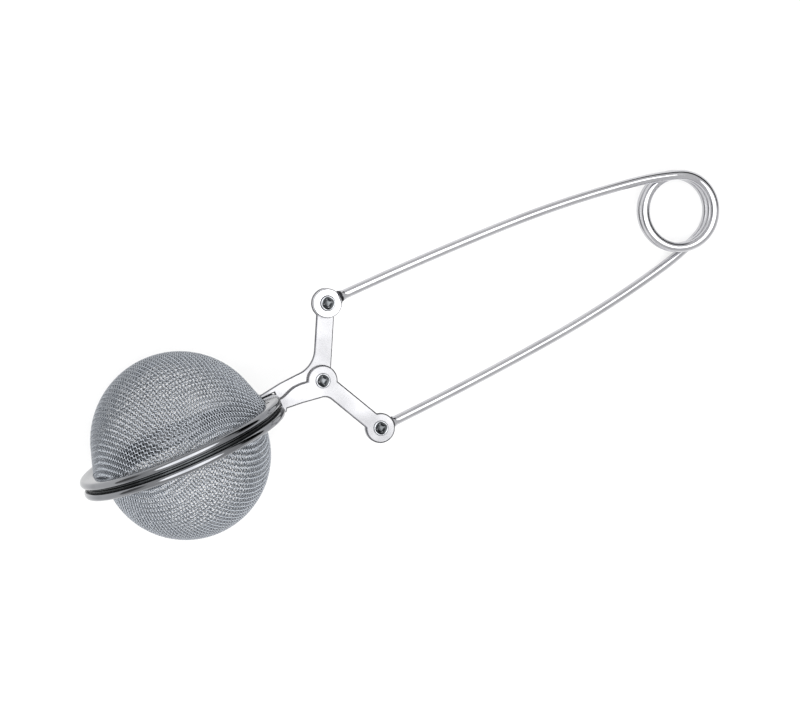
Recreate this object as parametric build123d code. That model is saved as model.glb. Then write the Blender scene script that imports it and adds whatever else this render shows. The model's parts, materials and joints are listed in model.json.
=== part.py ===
from build123d import *
from math import asin, atan2, cos, degrees, hypot, radians, sin
import os

# Mesh-ball tea infuser with a spring-wire squeeze handle, in millimetres.
# Everything is first drawn in the linkage frame: origin on the central rivet, +X from the ball
# to the spring coil, +Y from the lower half of the ball to the upper half, +Z along the rivets
# towards the front. At the end the whole object is pitched and lifted so that it lies on a
# table with both rims and the coil touching it.

# Linkage
BALL_X = -38.0              # centre of the ball, measured from the central rivet
ARM = 18.7                  # central rivet to the rivet in a wire eye
ARM_ANGLE = 62.5            # from +X to the wire arm of a lever, ball closed
COIL_X = 100.3              # centre of the spring coil

# Sheet-metal levers: lower lever in front, upper lever behind
SHEET = 1.0
LAYER_GAP = 0.02            # from the dividing plane to each lever
PIVOT_EYE_R = 3.77
WIRE_ARM_EYE_R = 3.67
WIRE_ARM_HALF = 2.2
CORNER_X = -0.4             # corner between the ball arm and the wire arm, before its rounding
CORNER_Y = 3.95
UPPER_CORNER_R = 6.5
LOWER_CORNER_R = 2.8
TONGUE = 0.8                # height of the tongue welded to the flange
TONGUE_END_X = -15.65
TONGUE_GAP = 0.01           # tongue to flange
BUTT_GAP = 0.05             # end of the ball arm to the bead
BUTT_Y = -0.62
ROOT_X = -3.0               # inner edge of the ball arm, where it meets the pivot eye
ROOT_Y = -1.3
INNER_EDGE = [(ROOT_X, ROOT_Y), (-5.6, -1.7), (-7.4, -1.62), (-8.9, -1.2), (-10.4, -0.68)]
UPPER_EDGE = [(-9.8, 3.8), (-5.0, 3.95)]                # outer edges of the ball arms
LOWER_EDGE = [(-11.3, 3.1), (-10.8, 2.4), (-6.8, 2.85), (-2.3, 3.6)]

# Wire handle
WIRE_R = 1.175
EYE_T = 1.2                 # flattened wire at the eye
EYE_R = 3.6
EYE_GAP = 0.03              # eye to the dividing plane
SHOULDER = 4.1              # eye centre to where the round wire starts
BLADE_IN_WIRE = 1.0         # the flat runs this far into the round wire
BLADE_DEPTH = 0.05          # and lies this far behind its surface
BLADE_HALF = 0.8            # half width of its end
COIL_R = 9.0
COIL_PITCH = 2.55
LEG_OFFSET = 0.3            # the leg runs this far outside the eye's centre
LEAVE_ANGLE = 19.8          # slope of a leg where it leaves the coil
LEG_ARCS = [(72.0, 9.8), (286.0, 6.9), (900.0, 2.7)]    # radius and turn, from the coil outwards
SPLIT_GAP = 0.06            # gap between the coil and each leg

# Rivets
SHANK_R = 1.0
RUNNING = 0.05              # radial clearance of a turning eye
LOOSE = 0.68                # radial clearance of the upper wire eye, the opened pivot
HEAD_R = 1.85
HEAD_H = 0.45
HEAD_GAP = 0.03
HEAD_ROUND = 0.25
RECESS_R = 0.85
RECESS_DEPTH = 1.1
MOUTH_R = 1.45              # the recess flares to this radius at the face of the head
MOUTH_DEPTH = 0.45

# Ball: two mesh cups, each crimped into a folded sheet rim
RIM_R = 26.0
RIM_SHEET = 0.4
RIM_H = 2.3                 # from the closing plane to the outer face of the flange
BEAD_R = 0.9
CLOSING_GAP = 0.08          # from the closing plane to each rim
FOOT_IN_R = 19.5
FOOT_OUT_R = 22.6
MESH_T = 0.56               # two wire diameters
UPPER_CUP_R = 21.35
UPPER_CUP_Y = 1.75          # centre of the upper dome above the closing plane
UPPER_FLANK = 18.0          # the dome runs out into a straight flank below this latitude
DOME_MID = 55.0             # latitude of the middle point of the dome's outline
LOWER_CUP_R = 20.35
LOWER_CUP_Y = 2.1
VENT_R = 0.55               # small hole in the upper flange, beside the lever
VENT_POS = (-16.8, 9.3)

COIL_TURNS = (720 + 2 * (90 - LEAVE_ANGLE)) / 360
COIL_HALF_H = COIL_TURNS * COIL_PITCH / 2
WIRE_Z = EYE_GAP + BLADE_DEPTH + WIRE_R     # leg height at the eye
EYE_X = ARM * cos(radians(ARM_ANGLE))
EYE_Y = ARM * sin(radians(ARM_ANGLE))
BALL_AXIS = Axis((0, 0, 0), (0, 1, 0))
FLIP = Rot(180, 0, 0)       # turns an upper part into the matching lower one


def ring(r_in, r_out, y_low, y_high):
    """Half section of a flat ring about the ball's axis."""
    return Pos((r_in + r_out) / 2, (y_low + y_high) / 2) * Rectangle(r_out - r_in, y_high - y_low)


def rim_profile(wall_r):
    """Foot, wall, flange and rolled bead of a rim whose wall fits a cup of radius wall_r."""
    foot = ring(FOOT_IN_R, FOOT_OUT_R, CLOSING_GAP, CLOSING_GAP + RIM_SHEET)
    wall = ring(wall_r, wall_r + RIM_SHEET, CLOSING_GAP, RIM_H)
    bead_x = RIM_R - BEAD_R
    bead_y = RIM_H - BEAD_R
    flange = ring(wall_r, bead_x, RIM_H - RIM_SHEET, RIM_H)
    tube = Circle(BEAD_R) - Circle(BEAD_R - RIM_SHEET)
    curl_gap = Pos(-BEAD_R, 0) * Rectangle(2 * BEAD_R, 2 * (BEAD_R - RIM_SHEET))
    return foot + wall + flange + Pos(bead_x, bead_y) * (tube - curl_gap)


def upper_cup():
    """Upper mesh cup: a dome on a straight, slightly flared flank."""
    flank = radians(UPPER_FLANK)
    base_y = CLOSING_GAP + RIM_SHEET

    def half_outline(radius):
        low = Vector(radius * cos(flank), UPPER_CUP_Y + radius * sin(flank))
        mid = Vector(radius * cos(radians(DOME_MID)), UPPER_CUP_Y + radius * sin(radians(DOME_MID)))
        top = Vector(0, UPPER_CUP_Y + radius)
        wall_r = low.X + (low.Y - RIM_H) * sin(flank) / cos(flank)
        edges = [
            Line((0, base_y), (wall_r, base_y)),
            Line((wall_r, base_y), (wall_r, RIM_H)),
            Line((wall_r, RIM_H), low),
            ThreePointArc(low, mid, top),
            Line(top, (0, base_y)),
        ]
        return make_face(Curve() + edges), wall_r

    outer, wall_r = half_outline(UPPER_CUP_R)
    inner, _ = half_outline(UPPER_CUP_R - MESH_T)
    return revolve(outer - inner, BALL_AXIS), wall_r


def lower_cup():
    """Lower mesh cup: a plain dome with a short neck into its rim, drawn upwards."""
    base_y = CLOSING_GAP + RIM_SHEET
    dome = Pos(0, LOWER_CUP_Y) * (Circle(LOWER_CUP_R) - Circle(LOWER_CUP_R - MESH_T))
    side = 2 * LOWER_CUP_R
    quarter = dome & Pos(side / 2, LOWER_CUP_Y + side / 2) * Rectangle(side, side)
    neck = ring(LOWER_CUP_R - MESH_T, LOWER_CUP_R, base_y, LOWER_CUP_Y)
    return revolve(quarter + neck, BALL_AXIS), LOWER_CUP_R


def lever(ball_arm, corner_r, pivot_hole_r):
    """Upper lever outline, ball arm to the left and wire arm up to the right."""
    wire_arm = Rectangle(ARM, 2 * WIRE_ARM_HALF, align=(Align.MIN, Align.CENTER))
    outline = make_face(ball_arm) + Circle(PIVOT_EYE_R) + Rot(0, 0, ARM_ANGLE) * wire_arm
    outline += Pos(EYE_X, EYE_Y) * Circle(WIRE_ARM_EYE_R)
    corner = outline.vertices().sort_by_distance((CORNER_X, CORNER_Y, 0))[0]
    outline = fillet(corner, corner_r)
    outline -= Circle(pivot_hole_r) + Pos(EYE_X, EYE_Y) * Circle(SHANK_R)
    return extrude(outline, SHEET)


def ball_arm_outline(outer_edge):
    """Ball arm of a lever. It butts against the bead and its tongue lies on the flange."""
    flange_y = RIM_H + TONGUE_GAP
    butt_x = BALL_X + RIM_R + BUTT_GAP
    inner_edge = Spline(*INNER_EDGE, (butt_x, BUTT_Y))
    tongue = Polyline(
        (butt_x, BUTT_Y), (butt_x, flange_y), (TONGUE_END_X, flange_y), (TONGUE_END_X, flange_y + TONGUE),
        *outer_edge, (0, CORNER_Y), (0, ROOT_Y), (ROOT_X, ROOT_Y),
    )
    return Curve() + [inner_edge, tongue]


def wire_eye(hole_r):
    """Flattened eye of the upper leg with its shoulder, in the linkage frame."""
    blade_x = SHOULDER + BLADE_IN_WIRE
    blade = Polyline(
        (0, EYE_R), (SHOULDER, LEG_OFFSET + WIRE_R), (blade_x, LEG_OFFSET + BLADE_HALF),
        (blade_x, LEG_OFFSET - BLADE_HALF), (SHOULDER, LEG_OFFSET - WIRE_R), (0, -EYE_R), (0, EYE_R),
    )
    outline = Circle(EYE_R) + make_face(blade) - Circle(hole_r)
    return Pos(EYE_X, EYE_Y, EYE_GAP) * extrude(outline, EYE_T)


def upper_leg(hole_r):
    """Bowed leg: tangent arcs from the coil out to the shoulder, and the flattened eye."""
    slope = radians(LEAVE_ANGLE)
    path = []
    here = Vector(0, 0)
    heading = Vector(-cos(slope), sin(slope))
    for radius, turn in LEG_ARCS:
        arc = JernArc(start=here, tangent=heading, radius=radius, arc_size=turn)
        path.append(arc)
        here = arc @ 1
        heading = arc % 1
    coil_end = Vector(COIL_X + COIL_R * sin(slope), COIL_R * cos(slope))
    shoulder_x = EYE_X + SHOULDER
    last = Line(here, here + heading * ((coil_end.X + here.X - shoulder_x) / -heading.X))
    wire = Curve() + path + [last]
    section = Plane(origin=wire @ 0, z_dir=wire % 0) * Circle(WIRE_R)
    leg = sweep(section, path=wire)
    drop = COIL_HALF_H - WIRE_Z
    tilt = degrees(asin(drop / (coil_end.X - shoulder_x)))
    leg = Pos(coil_end.X, coil_end.Y, COIL_HALF_H) * Rot(0, -tilt, 0) * Pos(heading * SPLIT_GAP) * leg
    return leg + wire_eye(hole_r)


def spring_coil():
    """Close-wound coil from the lower leg at the back to the upper leg at the front."""
    path = Helix(pitch=COIL_PITCH, height=COIL_TURNS * COIL_PITCH, radius=COIL_R)
    section = Plane(origin=path @ 0, z_dir=path % 0) * Circle(WIRE_R)
    coil = sweep(section, path=path, is_frenet=True)
    return Pos(COIL_X, 0, -COIL_HALF_H) * Rot(0, 0, LEAVE_ANGLE - 90) * coil


def rivet(low, high, x, y):
    """Semi-tubular rivet with heads outside the heights low and high, recess to the front."""
    shank = extrude(Circle(SHANK_R), high - low)
    back_head = Pos(0, 0, -HEAD_H) * extrude(Circle(HEAD_R), HEAD_H)
    front_head = Pos(0, 0, high - low) * extrude(Circle(HEAD_R), HEAD_H)
    body = shank + back_head + front_head
    faces = body.faces().sort_by(Axis.Z)
    body = fillet(ShapeList([faces[0], faces[-1]]).edges(), HEAD_ROUND)
    face_z = high - low + HEAD_H
    recess = Pos(0, 0, face_z - RECESS_DEPTH) * extrude(Circle(RECESS_R), RECESS_DEPTH)
    mouth = Pos(0, 0, face_z - MOUTH_DEPTH / 2) * Cone(RECESS_R, MOUTH_R, MOUTH_DEPTH)
    body -= recess + mouth
    return Pos(x, y, low) * body


def rest_placement(parts):
    """Pitch about Y until rims and coil touch the table, then put the origin under the middle."""
    foot_x = COIL_X + COIL_R - BALL_X
    foot_z = COIL_HALF_H - COIL_PITCH * (90 - LEAVE_ANGLE) / 360
    pitch = asin((RIM_R - WIRE_R) / hypot(foot_x, foot_z)) - atan2(foot_z, foot_x)
    turned = Compound(children=[Rot(0, degrees(pitch), 0) * part for part in parts])
    box = turned.bounding_box()
    lift = Pos(-box.center().X, -box.center().Y, -box.min.Z)
    return lift * Rot(0, degrees(pitch), 0)


upper_mesh, upper_wall_r = upper_cup()
lower_mesh, lower_wall_r = lower_cup()
to_ball = Pos(BALL_X, 0, 0)
to_lower_ball = to_ball * FLIP
vent = Pos(VENT_POS[0], 0, VENT_POS[1]) * Rot(-90, 0, 0) * extrude(Circle(VENT_R), 2 * RIM_H)

upper_lever = lever(ball_arm_outline(UPPER_EDGE), UPPER_CORNER_R, SHANK_R + RUNNING)
lower_lever = FLIP * lever(ball_arm_outline(LOWER_EDGE), LOWER_CORNER_R, SHANK_R)

front_face = LAYER_GAP + SHEET
eye_face = EYE_GAP + EYE_T + HEAD_GAP

nodes = {
    "upper_mesh": to_ball * upper_mesh,
    "lower_mesh": to_lower_ball * lower_mesh,
    "upper_rim": to_ball * revolve(rim_profile(upper_wall_r), BALL_AXIS) - vent,
    "lower_rim": to_lower_ball * revolve(rim_profile(lower_wall_r), BALL_AXIS),
    "upper_lever": Pos(0, 0, -front_face) * upper_lever,
    "lower_lever": Pos(0, 0, front_face) * lower_lever,
    "upper_leg": upper_leg(SHANK_R + LOOSE),
    "spring_coil": spring_coil(),
    "lower_leg": FLIP * upper_leg(SHANK_R + RUNNING),
    "pivot_rivet": rivet(-front_face - HEAD_GAP, front_face, 0, 0),
    "upper_rivet": rivet(-front_face, eye_face, EYE_X, EYE_Y),
    "lower_rivet": rivet(-eye_face, front_face, EYE_X, -EYE_Y),
}

placement = rest_placement(nodes.values())
os.makedirs("parts", exist_ok=True)
for name, shape in nodes.items():
    export_step(placement * shape, f"parts/{name}.step")

pivot = placement * Location((0, 0, 0))
print("central rivet at", pivot.position, "pitch", pivot.orientation.Y)
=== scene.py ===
import json
from math import asin, cos, hypot, pi, radians, sin

import bmesh
import bpy
import numpy as np
from mathutils import Matrix, Vector


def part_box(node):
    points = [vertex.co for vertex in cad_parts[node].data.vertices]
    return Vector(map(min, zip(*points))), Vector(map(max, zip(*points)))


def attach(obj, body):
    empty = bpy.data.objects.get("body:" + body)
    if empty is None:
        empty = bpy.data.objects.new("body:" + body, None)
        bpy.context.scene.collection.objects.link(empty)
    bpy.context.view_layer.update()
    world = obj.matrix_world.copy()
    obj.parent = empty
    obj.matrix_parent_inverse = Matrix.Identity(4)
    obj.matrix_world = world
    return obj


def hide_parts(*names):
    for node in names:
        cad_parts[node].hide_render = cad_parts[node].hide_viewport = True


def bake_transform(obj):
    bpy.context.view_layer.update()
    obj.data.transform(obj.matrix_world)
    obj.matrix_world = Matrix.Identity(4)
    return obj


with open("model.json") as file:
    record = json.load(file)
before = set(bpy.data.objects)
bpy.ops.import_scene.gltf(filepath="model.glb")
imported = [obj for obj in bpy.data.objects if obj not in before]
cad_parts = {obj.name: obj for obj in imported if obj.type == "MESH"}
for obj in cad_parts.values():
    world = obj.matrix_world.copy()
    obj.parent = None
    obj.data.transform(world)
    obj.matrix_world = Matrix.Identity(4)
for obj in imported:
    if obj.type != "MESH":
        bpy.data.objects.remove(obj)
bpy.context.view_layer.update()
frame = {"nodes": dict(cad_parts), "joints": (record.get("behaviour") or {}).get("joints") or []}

# The looks of a mesh-ball tea infuser with a spring-wire squeeze handle.
# Shapes are worked out in millimetres in the linkage frame: origin on the central rivet, +X from
# the ball to the spring coil, +Y from the lower half of the ball to the upper half, +Z along the
# rivets to the front. TO_ROW takes them to the row frame in metres.

MM = 0.001


def joint(name):
    return next(j for j in frame["joints"] if j["name"] == name)


def linkage_frame():
    """Matrix from millimetres in the linkage frame to metres in the row frame."""
    z = -Vector(joint("jaw_pivot")["axis"])
    y = Vector((0, 1, 0))
    x = y.cross(z)
    turn = Matrix((x, y, z)).transposed().to_4x4()
    return Matrix.Translation(joint("jaw_pivot")["pos_m"]) @ turn @ Matrix.Scale(MM, 4)


TO_ROW = linkage_frame()
TO_LINKAGE = TO_ROW.inverted()

rim_low, rim_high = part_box("upper_rim")
RIM_R = (rim_high.x - rim_low.x) / 2 / MM
BALL_X = (TO_LINKAGE @ ((rim_low + rim_high) / 2)).x
COIL_X = (TO_LINKAGE @ Vector(joint("leg_flex")["pos_m"])).x
LOWER_EYE = TO_LINKAGE @ Vector(joint("lower_eye_pivot")["pos_m"])
EYE_X, EYE_Y = LOWER_EYE.x, -LOWER_EYE.y

# Wire handle
WIRE_R = 1.175
EYE_T = 1.2
EYE_R = 3.6
EYE_GAP = 0.03
SHOULDER = 4.1              # x from the eye's centre to the end of the leg's line
COIL_R = 9.0
COIL_PITCH = 2.55
LEAVE_ANGLE = radians(19.8)
LEG_ARCS = [(72.0, 9.8), (286.0, 6.9), (900.0, 2.7)]      # radius, turn in degrees, from the coil
COIL_TURNS = 2 + 2 * (pi / 2 - LEAVE_ANGLE) / (2 * pi)
COIL_HALF_H = COIL_TURNS * COIL_PITCH / 2
LEG_Z = EYE_GAP + 0.05 + WIRE_R
WIRE_END = 3.85             # the round wire runs on past it, to about this x
# the wire's swollen end: distance from the end, radius
PINCH = [(1.3, WIRE_R), (0.8, 1.2), (0.3, 1.3), (0.06, 1.32), (0.0, 1.25)]
FACE_END = 3.35             # the eye's flat face stops here, at the shoulder groove
NECK_END = 2.4              # the neck runs this close to the eye's centre
# along the neck: how far from the wire's end to NECK_END, half width, half height
NECK = [(0.02, 1.42, 0.4), (0.32, 1.45, 0.4), (0.37, 1.5, 0.55), (0.6, 1.75, 0.57), (1.0, 2.4, 0.57)]
EYE_MID_Z = EYE_GAP + EYE_T / 2
EYE_EDGE = 0.3
WIRE_SIDES = 32
COIL_STEPS = 220
COIL_EASING = 4             # smoothing passes that ease the coil into the legs

# Rivets
HEAD_R = 1.85
HEAD_H = 0.45
SHANK_R = 1.0
RUNNING = 0.05              # clearance round the lower rivet's shank
LOOSE = 0.68                # clearance round the upper rivet's shank, for the open pivot
SQUARE_TURN = 0.6           # four times the punched recess's turn, in radians

# Ball
RIM_SHEET = 0.4
RIM_H = 2.3
BEAD_R = 0.9
SKIRT_IN = 0.4              # from the bead's centre in to the turned-down lip under it
CLOSING_GAP = 0.08
FOOT_IN_R = 19.5
FOOT_OUT_R = 22.6
CLOTH_T = 0.56
UPPER_CUP_R = 21.35
UPPER_CUP_Y = 1.75
UPPER_FLANK = radians(18.0)
LOWER_CUP_R = 20.35
LOWER_CUP_Y = 2.1
CLOTH_WIRE_R = 0.125
CLOTH_LIFT = 0.155          # how far a wire rises and dips over its neighbours
CLOTH_PITCH = 0.8
CLOTH_LOW_Y = 1.2           # the cloth ends this high, inside the rim
CLOTH_SIDES = 6
VENT_R = 0.55
VENT_X = -16.8
VENT_Z = 9.3
VENT_SIDES = 24
RIM_SEGMENTS = 256


# ---------------------------------------------------------------- meshes

def new_object(name, verts, faces, smooth=True):
    """A mesh object from points in the linkage frame."""
    mesh = bpy.data.meshes.new(name)
    points = np.asarray(verts, float)
    matrix = np.array(TO_ROW)
    points = points @ matrix[:3, :3].T + matrix[:3, 3]
    mesh.from_pydata(points.tolist(), [], faces)
    mesh.update()
    if smooth:
        mesh.polygons.foreach_set("use_smooth", [True] * len(mesh.polygons))
    ob = bpy.data.objects.new(name, mesh)
    bpy.context.scene.collection.objects.link(ob)
    return ob


def tube(path, radius, sides, closed_ends=True):
    """Vertices and faces of a round tube along path, carried by parallel transport."""
    path = np.asarray(path, float)
    tangent = np.gradient(path, axis=0)
    tangent /= np.linalg.norm(tangent, axis=1)[:, None]
    side = np.cross(tangent[0], (0, 0, 1.0))
    if np.linalg.norm(side) < 0.2:
        side = np.cross(tangent[0], (0, 1.0, 0))
    sides_at = []
    for t in tangent:
        side = side - t * (side @ t)
        side = side / np.linalg.norm(side)
        sides_at.append(side)
    u = np.array(sides_at)
    v = np.cross(tangent, u)
    angles = np.arange(sides) * 2 * pi / sides
    ring = u[:, None] * np.cos(angles)[None, :, None] + v[:, None] * np.sin(angles)[None, :, None]
    ring = ring * np.broadcast_to(radius, len(path))[:, None, None]
    verts = (path[:, None] + ring).reshape(-1, 3)
    faces = tube_faces(len(path), sides)
    if closed_ends:
        faces.append(list(range(sides))[::-1])
        faces.append([(len(path) - 1) * sides + k for k in range(sides)])
    return verts, faces


def tube_faces(rings, sides, base=0):
    """Quads between the rings of a tube whose vertices start at base."""
    i, k = np.meshgrid(np.arange(rings - 1), np.arange(sides), indexing="ij")
    k2 = (k + 1) % sides
    quads = np.stack([i * sides + k, i * sides + k2, (i + 1) * sides + k2, (i + 1) * sides + k], -1)
    return (quads.reshape(-1, 4) + base).tolist()


def lathe(profile, segments, axis="Z", closed=True, square=None):
    """Vertices and faces of a profile of (radius, height) turned about an axis.

    square holds, for each profile point, how far its ring leans towards a rounded square."""
    profile = np.asarray(profile, float)
    square = np.zeros(len(profile)) if square is None else np.asarray(square, float)
    angles = np.arange(segments) * 2 * pi / segments
    c, s = np.cos(angles)[:, None], np.sin(angles)[:, None]
    r = profile[None, :, 0] * (1 + square[None, :] * np.cos(4 * angles + SQUARE_TURN)[:, None])
    h = np.broadcast_to(profile[None, :, 1], r.shape)
    verts = np.stack([r * c, r * s, h] if axis == "Z" else [r * s, h, r * c], -1).reshape(-1, 3)
    n = len(profile)
    faces = []
    for i in range(segments):
        j = (i + 1) % segments
        for k in range(n if closed else n - 1):
            m = (k + 1) % n
            faces.append([i * n + k, j * n + k, j * n + m, i * n + m])
    return verts, faces


def clean(ob):
    """Join doubled points and turn every face outwards."""
    bm = bmesh.new()
    bm.from_mesh(ob.data)
    bmesh.ops.remove_doubles(bm, verts=bm.verts, dist=1e-7)
    bmesh.ops.recalc_face_normals(bm, faces=bm.faces)
    bm.to_mesh(ob.data)
    bm.free()


def boolean(ob, others, operation):
    """Join or cut ob with other closed objects, which are used up."""
    for other in others:
        cut = ob.modifiers.new("join", "BOOLEAN")
        cut.operation = operation
        cut.solver = "EXACT"
        cut.object = other
    mesh = bpy.data.meshes.new_from_object(ob.evaluated_get(bpy.context.evaluated_depsgraph_get()))
    ob.modifiers.clear()
    ob.data = mesh
    for other in others:
        bpy.data.objects.remove(other)


def linkage_points(name):
    """Points of a CAD node in the linkage frame."""
    return [TO_LINKAGE @ v.co for v in frame["nodes"][name].data.vertices]


def front_loops(name):
    """Outline and holes of a flat CAD node's front face, as loops of points in the linkage frame."""
    bm = bmesh.new()
    bm.from_mesh(frame["nodes"][name].data)
    bmesh.ops.remove_doubles(bm, verts=bm.verts, dist=1e-7)
    front = Vector(TO_ROW.to_3x3() @ Vector((0, 0, 1))).normalized()
    face_set = {f for f in bm.faces if f.normal.dot(front) > 0.99}
    after = {}
    for face in face_set:
        for loop in face.loops:
            if not any(f in face_set for f in loop.edge.link_faces if f is not face):
                after[loop.vert] = loop.link_loop_next.vert
    loops = []
    while after:
        start = next(iter(after))
        chain, here = [], start
        while here in after:
            chain.append(TO_LINKAGE @ here.co)
            here = after.pop(here)
        loops.append(chain)
    bm.free()
    return loops


def circle(x, y, radius, count):
    angles = np.linspace(0, 2 * pi, count, endpoint=False)
    return [(x + radius * cos(a), y + radius * sin(a)) for a in angles]


def crisp_faces(ob):
    """Smooth shading with the borders of the flat front and back kept sharp."""
    axis = (TO_ROW.to_3x3() @ Vector((0, 0, 1))).normalized()
    bm = bmesh.new()
    bm.from_mesh(ob.data)
    for face in bm.faces:
        face.smooth = True
    for edge in bm.edges:
        flat = [abs(face.normal.dot(axis)) > 0.999 for face in edge.link_faces]
        edge.smooth = len(set(flat)) == 1 and edge.calc_face_angle(0) < radians(50)
    bm.to_mesh(ob.data)
    bm.free()


def plate(name, loops, low_z, high_z, edge):
    """A flat plate with rounded edges from closed loops: the outline and its holes."""
    curve = bpy.data.curves.new(name, "CURVE")
    curve.dimensions = "2D"
    curve.fill_mode = "BOTH"
    curve.extrude = (high_z - low_z) / 2 - edge
    curve.bevel_depth = edge
    curve.bevel_resolution = 2
    curve.offset = -edge
    for loop in loops:
        spline = curve.splines.new("POLY")
        spline.points.add(len(loop) - 1)
        spline.use_cyclic_u = True
        for point, place in zip(spline.points, loop):
            point.co = (place[0], place[1], 0, 1)
    ob = bpy.data.objects.new(name, curve)
    bpy.context.scene.collection.objects.link(ob)
    mesh = bpy.data.meshes.new_from_object(ob.evaluated_get(bpy.context.evaluated_depsgraph_get()))
    bpy.data.objects.remove(ob)
    mesh.transform(TO_ROW @ Matrix.Translation((0, 0, (low_z + high_z) / 2)))
    ob = bpy.data.objects.new(name, mesh)
    bpy.context.scene.collection.objects.link(ob)
    clean(ob)
    crisp_faces(ob)
    return ob


# ---------------------------------------------------------------- woven cloth

class Dome:
    """A cup's middle surface about the ball's axis, opening towards -Y of its own frame."""

    def __init__(self, radius, centre_y, flank):
        self.radius = radius
        self.centre = np.array([0.0, centre_y, 0.0])
        self.flank = flank
        self.edge_y = centre_y + radius * sin(flank)
        self.edge_r = radius * cos(flank)

    def distance(self, p):
        """Signed distance to the surface and its outward normal, for an array of points."""
        from_centre = p - self.centre
        length = np.linalg.norm(from_centre, axis=-1)
        dome_d = length - self.radius
        dome_n = from_centre / length[..., None]
        rho = np.maximum(np.hypot(p[..., 0], p[..., 2]), 1e-6)
        wall_r = self.edge_r + (self.edge_y - p[..., 1]) * np.tan(self.flank)
        wall_d = (rho - wall_r) * cos(self.flank)
        wall_n = np.stack([
            p[..., 0] / rho * cos(self.flank),
            np.full_like(rho, sin(self.flank)),
            p[..., 2] / rho * cos(self.flank),
        ], -1)
        on_wall = p[..., 1] < self.edge_y
        return np.where(on_wall, wall_d, dome_d), np.where(on_wall[..., None], wall_n, dome_n)

    def meridian(self, s):
        """Radius and height at arc length s from the pole."""
        to_edge = self.radius * (pi / 2 - self.flank)
        angle = np.minimum(s, to_edge) / self.radius
        beyond = np.maximum(s - to_edge, 0)
        r = self.radius * np.sin(angle) + beyond * sin(self.flank)
        y = self.centre[1] + self.radius * np.cos(angle) - beyond * cos(self.flank)
        return r, y


def fishnet(dome, pitch, low_y):
    """Crossings of square cloth draped over one quarter of the dome, every side one pitch long."""
    count = int((dome.radius * pi / 2 + dome.centre[1]) / pitch) + 6
    net = np.full((count, count, 3), np.nan)
    r, y = dome.meridian(np.arange(count) * pitch)
    net[:, 0] = np.stack([r, y, 0 * r], -1)
    net[0, :] = np.stack([0 * r, y, r], -1)
    for diagonal in range(2, 2 * count - 1):
        i = np.arange(max(1, diagonal - count + 1), min(count, diagonal))
        j = diagonal - i
        a, b, c = net[i - 1, j], net[i, j - 1], net[i - 1, j - 1]
        ok = np.isfinite(a + b + c).all(-1) & (np.minimum(a[:, 1], b[:, 1]) > low_y - 3 * pitch)
        if not ok.any():
            continue
        i, j, a, b, c = i[ok], j[ok], a[ok], b[ok], c[ok]
        p = a + b - c
        for _ in range(12):
            from_a, from_b = p - a, p - b
            la, lb = np.linalg.norm(from_a, axis=-1), np.linalg.norm(from_b, axis=-1)
            d, n = dome.distance(p)
            rows = np.stack([from_a / la[:, None], from_b / lb[:, None], n], 1)
            miss = np.stack([la - pitch, lb - pitch, d], 1)
            p = p - np.linalg.solve(rows + 1e-9 * np.eye(3), miss[..., None])[..., 0]
        angle = np.einsum("ij,ij->i", (p - a), (p - b)) / pitch ** 2
        good = (np.linalg.norm(p - c, axis=-1) > 0.35 * pitch) & (np.abs(angle) < 0.97)
        net[i[good], j[good]] = p[good]
    return net


def full_net(quarter):
    """All four quarters of the net, mirrored, indexed from -n to n both ways."""
    right = np.concatenate([quarter[:0:-1] * (-1, 1, 1), quarter], 0)
    return np.concatenate([right[:, :0:-1] * (1, 1, -1), right], 1)


def weave(net, dome, lift, pitch, low_y, direction):
    """Centre lines of the wires that run one way, passing over and under the others."""
    if direction:
        net = net.transpose(1, 0, 2)
    size = net.shape[0]
    lines = []
    for i in range(size):
        row = net[i]
        ok = np.isfinite(row).all(-1) & (row[:, 1] > low_y)
        index = np.nonzero(ok)[0]
        if len(index) < 4:
            continue
        runs = np.split(index, np.nonzero(np.diff(index) > 1)[0] + 1)
        for run in runs:
            if len(run) < 4:
                continue
            points = row[run]
            _, normal = dome.distance(points)
            sign = np.where((run + i + direction) % 2 == 0, 1.0, -1.0)
            along = np.gradient(points, axis=0)
            along /= np.linalg.norm(along, axis=1)[:, None]
            raised = points + normal * (sign * lift)[:, None]
            step = along * pitch * 0.2
            line = np.stack([raised - step, raised + step], 1).reshape(-1, 3)
            lines.append(line)
    return lines


def wires_mesh(lines, radius, sides):
    """One vertex and face list for many thin tubes."""
    verts, faces, base = [], [], 0
    for line in lines:
        v, f = tube(line, radius, sides, closed_ends=False)
        verts.append(v)
        faces.extend((np.array(f) + base).tolist())
        base += len(v)
    return np.concatenate(verts), faces


def cup_cloth(prefix, dome, upward, azimuth):
    """Warp and weft of one mesh cup as two pieces; azimuth is where the cloth hangs straight."""
    c, s = cos(azimuth), sin(azimuth)
    turn = np.array([[c, 0, -s], [0, 1, 0], [s, 0, c]])
    net = full_net(fishnet(dome, CLOTH_PITCH, CLOTH_LOW_Y))
    pieces = []
    for direction, kind in enumerate(("warp", "weft")):
        lines = weave(net, dome, CLOTH_LIFT, CLOTH_PITCH, CLOTH_LOW_Y, direction)
        verts, faces = wires_mesh(lines, CLOTH_WIRE_R, CLOTH_SIDES)
        verts = (verts @ turn) * (1, upward, 1) + (BALL_X, 0, 0)
        if upward < 0:
            faces = [f[::-1] for f in faces]
        pieces.append(new_object(f"{prefix}_cloth_{kind}", verts, faces))
    return pieces


# ---------------------------------------------------------------- rims

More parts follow.
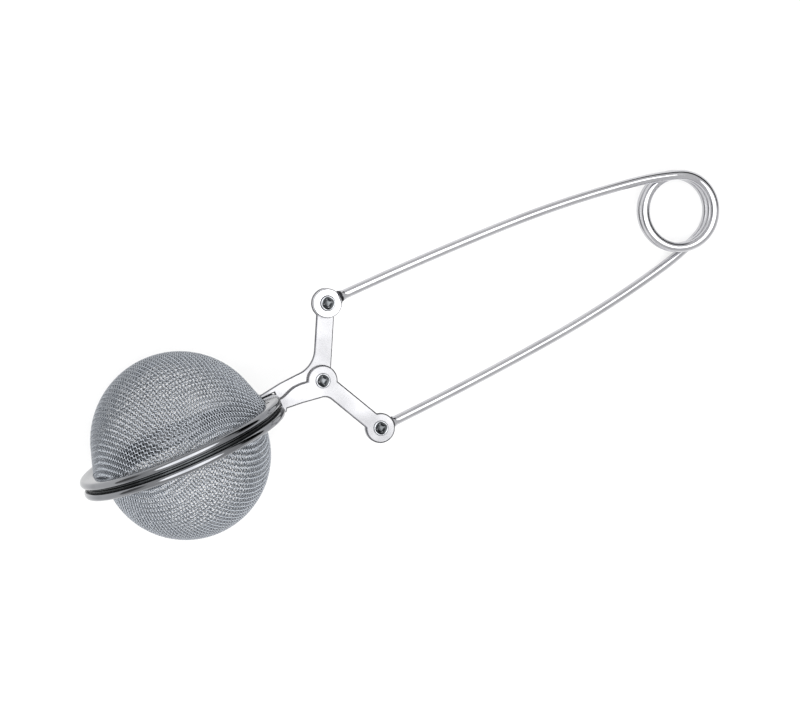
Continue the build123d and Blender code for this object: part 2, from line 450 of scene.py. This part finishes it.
def rim_profile(wall_r):
    """Closed outline of a folded sheet rim: foot, wall, flange, rolled bead and turned-down lip."""
    bead_x, bead_y = RIM_R - BEAD_R, RIM_H - BEAD_R
    t = RIM_SHEET
    arc = [radians(a) for a in range(90, -111, -8)]
    outer = [(bead_x + BEAD_R * cos(a), bead_y + BEAD_R * sin(a)) for a in arc]
    inner = [(bead_x + (BEAD_R - t) * cos(a), bead_y + (BEAD_R - t) * sin(a)) for a in reversed(arc)]
    foot_top = CLOSING_GAP + t
    skirt_x = bead_x - SKIRT_IN
    skirt = [(skirt_x, bead_y - 0.9), (skirt_x, CLOSING_GAP + 0.08)]
    skirt += [(skirt_x - 0.08, CLOSING_GAP), (skirt_x - t + 0.08, CLOSING_GAP)]
    skirt += [(skirt_x - t, CLOSING_GAP + 0.08), (skirt_x - t, bead_y - 0.55)]
    points = [(FOOT_IN_R + 0.1, foot_top), (wall_r, foot_top), (wall_r, RIM_H - 0.25)]
    points += [(wall_r + 0.08, RIM_H - 0.07), (wall_r + 0.25, RIM_H)]
    points += outer + skirt + inner
    points += [(wall_r + t + 0.1, RIM_H - t), (wall_r + t, RIM_H - t - 0.1), (wall_r + t, foot_top + 0.1)]
    points += [(wall_r + t + 0.05, foot_top), (FOOT_OUT_R - 0.1, foot_top), (FOOT_OUT_R, foot_top - 0.1)]
    points += [(FOOT_OUT_R, CLOSING_GAP + 0.1), (FOOT_OUT_R - 0.1, CLOSING_GAP)]
    points += [(FOOT_IN_R + 0.1, CLOSING_GAP), (FOOT_IN_R, CLOSING_GAP + 0.1), (FOOT_IN_R, foot_top - 0.1)]
    return points


def rim(name, wall_r, upward):
    """A rim whose lip down in the groove is coloured near-black as painted shade; the upper one has the
    vent hole in its flange.
    """
    verts, faces = lathe(rim_profile(wall_r), RIM_SEGMENTS, axis="Y")
    ob = new_object(name, verts * (1, upward, 1) + (BALL_X, 0, 0), faces)
    clean(ob)
    if upward > 0:
        n = VENT_SIDES
        ring = circle(VENT_X, VENT_Z, VENT_R, n)
        drill = [(x, y, z) for y in (RIM_H - 2 * RIM_SHEET, RIM_H + 1) for x, z in ring]
        sides = [[k, (k + 1) % n, n + (k + 1) % n, n + k] for k in range(n)]
        tool = new_object("vent", drill, sides + [list(range(n))[::-1], list(range(n, 2 * n))])
        clean(tool)
        boolean(ob, [tool], "DIFFERENCE")
    ob.data.materials.append(rim_mat)
    ob.data.materials.append(groove_shade_mat)
    lip_r, lip_y = RIM_R - BEAD_R - SKIRT_IN, RIM_H - 2 * BEAD_R
    # painted shade: the faces of the lip and the bead's underside in the groove between the rims take the
    # near-black second material
    for polygon in ob.data.polygons:
        middle = TO_LINKAGE @ polygon.center
        r = hypot(middle.x - BALL_X, middle.z)
        polygon.material_index = 1 if abs(middle.y) < lip_y + 0.1 and r > lip_r - 1.0 else 0
    smooth_by_angle(ob, 40)
    return ob


def smooth_by_angle(ob, angle):
    bpy.context.view_layer.objects.active = ob
    ob.select_set(True)
    bpy.ops.object.shade_smooth_by_angle(angle=radians(angle))
    ob.select_set(False)


# ---------------------------------------------------------------- wire handle

def arc_points(start, heading, radius, turn, steps):
    """Points along a flat arc and the heading at its end."""
    points = []
    for k in range(1, steps + 1):
        a = radians(turn) * k / steps
        left = np.array([-heading[1], heading[0]])
        points.append(start + radius * (np.array(heading) * sin(a) + left * (1 - cos(a))))
    c, s = cos(radians(turn)), sin(radians(turn))
    return points, np.array([heading[0] * c - heading[1] * s, heading[0] * s + heading[1] * c])


def leg_line():
    """Centre line of the upper leg from the coil to its shoulder, in the linkage frame."""
    here, heading = np.zeros(2), np.array([-cos(LEAVE_ANGLE), sin(LEAVE_ANGLE)])
    flat = [here]
    for radius, turn in LEG_ARCS:
        points, heading = arc_points(here, heading, radius, turn, 16)
        flat += points
        here = points[-1]
    coil_end = np.array([COIL_X + COIL_R * sin(LEAVE_ANGLE), COIL_R * cos(LEAVE_ANGLE)])
    shoulder_x = EYE_X + SHOULDER
    reach = (coil_end[0] + here[0] - shoulder_x) / -heading[0]
    flat += [here + heading * reach * k / 4 for k in range(1, 5)]
    flat = np.array(flat)
    tilt = asin((COIL_HALF_H - LEG_Z) / (coil_end[0] - shoulder_x))
    x = coil_end[0] + flat[:, 0] * cos(tilt)
    return np.stack([x, coil_end[1] + flat[:, 1], COIL_HALF_H + flat[:, 0] * sin(tilt)], -1)


def coil_line():
    """Centre line of the coil, from the lower leg to the upper one."""
    t = np.arange(COIL_STEPS + 1) / COIL_STEPS
    angle = LEAVE_ANGLE - pi / 2 + t * COIL_TURNS * 2 * pi
    return np.stack([
        COIL_X + COIL_R * np.cos(angle), COIL_R * np.sin(angle), -COIL_HALF_H + t * 2 * COIL_HALF_H,
    ], -1)


def eye(name, side, hole_r):
    """The flat ring of the eye at the end of a leg, cut short where the shoulder groove starts."""
    x, y = EYE_X, side * EYE_Y
    near, far = EYE_GAP, EYE_GAP + EYE_T
    line = leg_line()
    away = (line[-2] - line[-1])[:2] * (1, side)
    away /= np.linalg.norm(away)
    outline = []
    for point in circle(x, y, EYE_R, 144):
        beyond = max(0.0, (point[0] - x) * away[0] + (point[1] - y) * away[1] - FACE_END)
        outline.append((point[0] - beyond * away[0], point[1] - beyond * away[1]))
    loops = [outline, circle(x, y, hole_r, 48)]
    return plate(name, loops, near if side > 0 else -far, far if side > 0 else -near, EYE_EDGE)


def leg_sections():
    """Centre, half width, half height and squareness of the upper leg's sections, coil to eye."""
    line = leg_line()
    away = (line[-2] - line[-1]) / np.linalg.norm(line[-2] - line[-1])
    end = line[-1] - away * (SHOULDER - WIRE_END)
    sections = [(p, WIRE_R, WIRE_R, 2.0) for p in line[:-1]]
    sections += [(end + away * back, r, r, 2.0) for back, r in PINCH]
    start = np.array([end[0], end[1], EYE_MID_Z])
    flat_away = away * (1, 1, 0) / np.linalg.norm(away[:2])
    stop = np.array([EYE_X, EYE_Y, EYE_MID_Z]) + flat_away * NECK_END
    return sections + [(start + (stop - start) * t, a, b, 5.0) for t, a, b in NECK]


def handle_wire():
    """The whole spring wire: two bowed legs, the coil between them and a flat eye at each end."""
    upper = leg_sections()
    lower = [(p * (1, -1, -1), a, b, n) for p, a, b, n in reversed(upper)]
    coil = [(p, WIRE_R, WIRE_R, 2.0) for p in coil_line()]
    sections = lower[:-1] + coil + upper[1:]
    path = np.array([section[0] for section in sections])
    # even out the two ends of the coil, where the wire eases from its helix into the leg
    ends = len(PINCH) + len(NECK) + 1
    for _ in range(COIL_EASING):
        path[ends:-ends] = (path[ends:-ends] * 2 + path[ends - 1:-ends - 1] + path[ends + 1:-ends + 1]) / 4
    sides = WIRE_SIDES
    angles = np.arange(sides) * 2 * pi / sides
    verts = []
    tangents = np.gradient(path, axis=0)
    # the wire's own end faces stay square to the wire
    tangents[len(NECK)] = tangents[len(NECK) + 1]
    tangents[-len(NECK) - 1] = tangents[-len(NECK) - 2]
    for k, (_, a, b, n) in enumerate(sections):
        # the neck lies flat, so its sections stand upright
        t = tangents[k] if n == 2.0 else np.append(tangents[k][:2], 0)
        u = np.cross(t, (0, 0, 1.0))
        u /= np.linalg.norm(u)
        v = np.cross(t, u)
        v /= np.linalg.norm(v)
        c, s = np.cos(angles)[:, None], np.sin(angles)[:, None]
        across = u * a * np.sign(c) * abs(c) ** (2 / n)
        verts.append(path[k] + across + v * b * np.sign(s) * abs(s) ** (2 / n))
    faces = tube_faces(len(path), sides)
    faces += [list(range(sides))[::-1], [(len(path) - 1) * sides + k for k in range(sides)]]
    ob = new_object("handle_wire", np.concatenate(verts), faces)
    ob.data.materials.append(wire_mat)
    ob.data.materials.append(notch_shade_mat)
    # painted shade: the faces round the step between each wire's end and its flat neck take the near-black
    # second material
    first = (len(NECK) - 2) * sides
    last = (len(path) - len(NECK)) * sides
    for polygon in ob.data.polygons:
        low = min(polygon.vertices)
        step = first <= low < first + 2 * sides or last - sides <= low < last + sides
        polygon.material_index = 1 if step else 0
    clean(ob)
    boolean(ob, [eye("upper_eye", 1, SHANK_R + LOOSE), eye("lower_eye", -1, SHANK_R + RUNNING)], "UNION")
    smooth_by_angle(ob, 40)
    return ob


# ---------------------------------------------------------------- rivets

def rivet(name, node):
    """A semi-tubular rivet: a punched recess in front, a low round head behind."""
    points = linkage_points(node)
    x, y = [(min(p[k] for p in points) + max(p[k] for p in points)) / 2 for k in (0, 1)]
    back, front = min(p.z for p in points), max(p.z for p in points)
    under, over = front - HEAD_H, back + HEAD_H
    profile = [
        (0.01, front - 1.05), (0.6, front - 1.0), (0.86, front - 0.85), (0.92, front - 0.5),
        (1.2, front - 0.24),
        (1.42, front - 0.1), (1.5, front - 0.03), (1.58, front), (1.68, front - 0.02), (1.79, front - 0.1),
        (HEAD_R, front - 0.22), (HEAD_R, under + 0.05), (HEAD_R - 0.05, under), (SHANK_R, under),
        (SHANK_R, over), (HEAD_R - 0.05, over), (HEAD_R, over - 0.05), (HEAD_R, back + 0.2),
        (1.7, back + 0.08), (1.4, back + 0.02),
        (1.1, back), (0.01, back),
    ]
    square = [0, 0.06, 0.07, 0.07, 0.06, 0.045, 0.035, 0.02] + [0] * 14
    verts, faces = lathe(profile, 64, closed=False, square=square)
    n = len(profile)
    faces += [[i * n for i in range(64)], [i * n + n - 1 for i in range(64)][::-1]]
    ob = new_object(name, verts + (x, y, 0), faces)
    # painted shade: the faces of the punched recess and the front cap take the dark second material
    dark = [k for k, f in enumerate(faces[:-2]) if max(i % n for i in f) <= 6] + [len(faces) - 2]
    ob.data.materials.append(rivet_mat)
    ob.data.materials.append(recess_shade_mat)
    for k in dark:
        ob.data.polygons[k].material_index = 1
    clean(ob)
    smooth_by_angle(ob, 50)
    return ob


# ---------------------------------------------------------------- levers

def lever(name, node, edge):
    """A blanked sheet lever: bright faces, and edges coloured darker as painted shade and painted
    reflection.
    """
    points = linkage_points(node)
    ob = plate(name, front_loops(node), min(p.z for p in points), max(p.z for p in points), edge)
    ob.data.materials.append(lever_mat)
    ob.data.materials.append(edge_shade_mat)
    front = (TO_ROW.to_3x3() @ Vector((0, 0, 1))).normalized()
    # painted shade and painted reflection: the rounded edge faces take the darker second material
    for polygon in ob.data.polygons:
        polygon.material_index = 0 if abs(polygon.normal.dot(front)) > 0.97 else 1
    return ob


# ---------------------------------------------------------------- materials

def material(name):
    mat = bpy.data.materials.new(name)
    mat.use_nodes = True
    nt = mat.node_tree
    return mat, nt, nt.nodes["Principled BSDF"]


def noise(nt, scale, detail=4.0, stretch=(1, 1, 1)):
    coords = nt.nodes.new("ShaderNodeTexCoord")
    mapping = nt.nodes.new("ShaderNodeMapping")
    mapping.inputs["Scale"].default_value = stretch
    nt.links.new(coords.outputs["Object"], mapping.inputs["Vector"])
    tex = nt.nodes.new("ShaderNodeTexNoise")
    tex.inputs["Scale"].default_value = scale
    tex.inputs["Detail"].default_value = detail
    nt.links.new(mapping.outputs["Vector"], tex.inputs["Vector"])
    return tex.outputs["Fac"]


def ramp(nt, source, low, high, colour_low, colour_high):
    node = nt.nodes.new("ShaderNodeMapRange")
    node.inputs["From Min"].default_value = low
    node.inputs["From Max"].default_value = high
    nt.links.new(source, node.inputs["Value"])
    mix = nt.nodes.new("ShaderNodeMix")
    mix.data_type = "RGBA"
    mix.inputs["A"].default_value = (*colour_low, 1)
    mix.inputs["B"].default_value = (*colour_high, 1)
    nt.links.new(node.outputs["Result"], mix.inputs["Factor"])
    return mix.outputs["Result"]


def span(nt, source, low, high):
    node = nt.nodes.new("ShaderNodeMapRange")
    node.inputs["From Min"].default_value = 0.3
    node.inputs["From Max"].default_value = 0.7
    node.inputs["To Min"].default_value = low
    node.inputs["To Max"].default_value = high
    nt.links.new(source, node.inputs["Value"])
    return node.outputs["Result"]


def bump(nt, shader, source, strength, distance):
    node = nt.nodes.new("ShaderNodeBump")
    node.inputs["Strength"].default_value = strength
    node.inputs["Distance"].default_value = distance
    nt.links.new(source, node.inputs["Height"])
    nt.links.new(node.outputs["Normal"], shader.inputs["Normal"])


def steel(name, colour_low, colour_high, rough_low, rough_high, scale, bump_strength=0.05):
    mat, nt, shader = material(name)
    shader.inputs["Metallic"].default_value = 1.0
    tone = noise(nt, scale * 0.25)
    nt.links.new(ramp(nt, tone, 0.35, 0.65, colour_low, colour_high), shader.inputs["Base Color"])
    grain = noise(nt, scale, 6.0)
    nt.links.new(span(nt, grain, rough_low, rough_high), shader.inputs["Roughness"])
    bump(nt, shader, grain, bump_strength, 0.0001)
    return mat


def set_material(ob, mat):
    ob.data.materials.clear()
    ob.data.materials.append(mat)


# ---------------------------------------------------------------- assembly

cloth_mat, nt, shader = material("wire_cloth")
shader.inputs["Metallic"].default_value = 1.0
shader.inputs["Base Color"].default_value = (0.335, 0.355, 0.385, 1)
nt.links.new(span(nt, noise(nt, 900), 0.05, 0.13), shader.inputs["Roughness"])
rim_mat = steel("rim_sheet", (0.195, 0.2, 0.213), (0.25, 0.255, 0.268), 0.06, 0.14, 600)
# painted shade: near-black colour for the groove between the two rims
groove_shade_mat = steel("rim_groove_shade", (0.045, 0.048, 0.05), (0.08, 0.085, 0.09), 0.3, 0.5, 900)
lever_mat = steel("lever_sheet", (0.25, 0.25, 0.26), (0.37, 0.37, 0.38), 0.2, 0.32, 500)
# painted shade and painted reflection: a dark colour for the levers' edges
edge_shade_mat = steel("painted_edge_shade", (0.11, 0.11, 0.12), (0.19, 0.19, 0.2), 0.2, 0.35, 900)
# painted shade: near-black colour for the step at each wire's shoulder
notch_shade_mat = steel("shoulder_groove_shade", (0.015, 0.015, 0.017), (0.05, 0.05, 0.055), 0.3, 0.45, 900)
wire_mat = steel("spring_wire", (0.48, 0.48, 0.5), (0.54, 0.54, 0.56), 0.06, 0.14, 700)
rivet_mat = steel("rivet_steel", (0.38, 0.39, 0.41), (0.5, 0.51, 0.53), 0.18, 0.3, 900)
# painted shade: dark colour for the rivets' punched recess
recess_shade_mat = steel("rivet_recess_shade", (0.07, 0.075, 0.08), (0.2, 0.21, 0.22), 0.25, 0.45, 1500)

upper_dome = Dome(UPPER_CUP_R - CLOTH_T / 2, UPPER_CUP_Y, UPPER_FLANK)
lower_dome = Dome(LOWER_CUP_R - CLOTH_T / 2, LOWER_CUP_Y, 0.0)
for prefix, dome, upward, azimuth in (("upper", upper_dome, 1, -37), ("lower", lower_dome, -1, 3)):
    for piece in cup_cloth(prefix, dome, upward, radians(azimuth)):
        set_material(piece, cloth_mat)
        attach(piece, f"{prefix}_jaw")
        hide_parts(f"{prefix}_mesh")

upper_wall = UPPER_CUP_R * cos(UPPER_FLANK)
upper_wall += (UPPER_CUP_Y + UPPER_CUP_R * sin(UPPER_FLANK) - RIM_H) * sin(UPPER_FLANK) / cos(UPPER_FLANK)
for name, wall_r, upward in (("upper", upper_wall, 1), ("lower", LOWER_CUP_R, -1)):
    piece = rim(f"{name}_rolled_rim", wall_r, upward)
    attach(piece, f"{name}_jaw")
    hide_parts(f"{name}_rim")

wire = handle_wire()
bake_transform(wire)
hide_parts("spring_coil", "upper_leg", "lower_leg")

for name, body, edge in (("upper_lever", "upper_jaw", 0.28), ("lower_lever", "lower_jaw", 0.34)):
    piece = lever(f"{name}_sheet", name, edge)
    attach(piece, body)
    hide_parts(name)

RIVET_BODIES = {"pivot_rivet": "lower_jaw", "upper_rivet": "upper_jaw", "lower_rivet": "lower_jaw"}
for name, body in RIVET_BODIES.items():
    piece = rivet(f"{name}_set", name)
    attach(piece, body)
    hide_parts(name)

# ---------------------------------------------------------------- floor, light and camera

FLOOR_HALF = 3.0
FLOOR_GLOW = 0.6
KEY_DISTANCE = 1.8
KEY_LEAN = 5.0
KEY_TURN = 135.0
KEY_SIZE = 2.6
KEY_RADIANCE = 3.0
FILL = 0.78
FLAG_ANGLE = 84             # the dark flags on the right stand this far from the camera's direction
FLAG_TURNS = (27, 48, 70)   # and these far clockwise from upright, all in degrees

floor_mesh = bpy.data.meshes.new("floor")
corners = [(x * FLOOR_HALF, y * FLOOR_HALF, 0) for x, y in ((-1, -1), (1, -1), (1, 1), (-1, 1))]
floor_mesh.from_pydata(corners, [], [(0, 1, 2, 3)])
floor = bpy.data.objects.new("floor", floor_mesh)
bpy.context.scene.collection.objects.link(floor)
floor_mat, nt, shader = material("pale_floor")
shader.inputs["Base Color"].default_value = (0.35, 0.35, 0.35, 1)
shader.inputs["Roughness"].default_value = 0.9
shader.inputs["Emission Color"].default_value = (1, 1, 1, 1)
shader.inputs["Emission Strength"].default_value = FLOOR_GLOW
set_material(floor, floor_mat)


def aimed(side, up, angle, turn):
    """A direction leaning by angle from `side`, towards `up` turned clockwise by turn degrees."""
    right = up.cross(side)
    lean = up * cos(radians(turn)) + right * sin(radians(turn))
    return side * cos(radians(angle)) + lean * sin(radians(angle))


def studio_world(fill, flags):
    """Grey room light with dark flags: direction, brightness left, and cosines of their edge."""
    world = bpy.data.worlds.new("studio")
    bpy.context.scene.world = world
    world.use_nodes = True
    tree = world.node_tree
    background = tree.nodes["Background"]
    background.inputs["Color"].default_value = (1, 1, 1, 1)
    coords = tree.nodes.new("ShaderNodeTexCoord")
    light = tree.nodes.new("ShaderNodeValue").outputs[0]
    light.default_value = fill
    for direction, left, outer, inner in flags:
        dot = tree.nodes.new("ShaderNodeVectorMath")
        dot.operation = "DOT_PRODUCT"
        dot.inputs[1].default_value = direction
        tree.links.new(coords.outputs["Generated"], dot.inputs[0])
        fade = tree.nodes.new("ShaderNodeMapRange")
        fade.interpolation_type = "SMOOTHSTEP"
        fade.inputs["From Min"].default_value = outer
        fade.inputs["From Max"].default_value = inner
        fade.inputs["To Min"].default_value = 1.0
        fade.inputs["To Max"].default_value = left
        tree.links.new(dot.outputs["Value"], fade.inputs["Value"])
        product = tree.nodes.new("ShaderNodeMath")
        product.operation = "MULTIPLY"
        tree.links.new(light, product.inputs[0])
        tree.links.new(fade.outputs["Result"], product.inputs[1])
        light = product.outputs[0]
    tree.links.new(light, background.inputs["Strength"])


def soft_box(name, direction, distance, size, radiance):
    """A round area light of the given radiance, facing the middle of the scene."""
    data = bpy.data.lights.new(name, "AREA")
    data.shape = "ELLIPSE"
    data.size, data.size_y = size
    data.energy = radiance * pi * pi / 4 * size[0] * size[1]
    ob = bpy.data.objects.new(name, data)
    ob.location = direction * distance
    ob.rotation_mode = "QUATERNION"
    ob.rotation_quaternion = (-direction).to_track_quat("-Z", "Y")
    bpy.context.scene.collection.objects.link(ob)


bpy.context.scene.view_settings.view_transform = "Standard"

CAMERA_LENS = 200.0
CAMERA_DISTANCE = 1077.3
CAMERA_TARGET = Vector((20.5, -2.6, 0.0))
CAMERA_SIDE = Vector((-0.2617, 0.1595, 0.9519))
CAMERA_UP = Vector((0.4161, 0.9085, -0.0378))

back = (TO_ROW.to_3x3() @ CAMERA_SIDE).normalized()
up = (TO_ROW.to_3x3() @ CAMERA_UP).normalized()
right = up.cross(back).normalized()
up = back.cross(right)

flags = [
    (aimed(back, up, FLAG_ANGLE, turned), 0.03, cos(radians(26)), cos(radians(17)))
    for turned in FLAG_TURNS
]
flags.append((aimed(back, up, 80, -100), 0.3, cos(radians(34)), cos(radians(22))))
studio_world(FILL, flags)
soft_box("key", aimed(back, up, KEY_LEAN, KEY_TURN), KEY_DISTANCE, (KEY_SIZE, KEY_SIZE), KEY_RADIANCE)

camera_data = bpy.data.cameras.new("camera")
camera_data.lens = CAMERA_LENS
camera_data.sensor_width = 36.0
camera_data.clip_end = 10.0
camera = bpy.data.objects.new("camera", camera_data)
bpy.context.scene.collection.objects.link(camera)
turn = Matrix((right, up, back)).transposed()
camera.rotation_mode = "QUATERNION"
camera.rotation_quaternion = turn.to_quaternion()
camera.location = TO_ROW @ (CAMERA_TARGET + CAMERA_SIDE.normalized() * CAMERA_DISTANCE)
bpy.context.scene.camera = camera
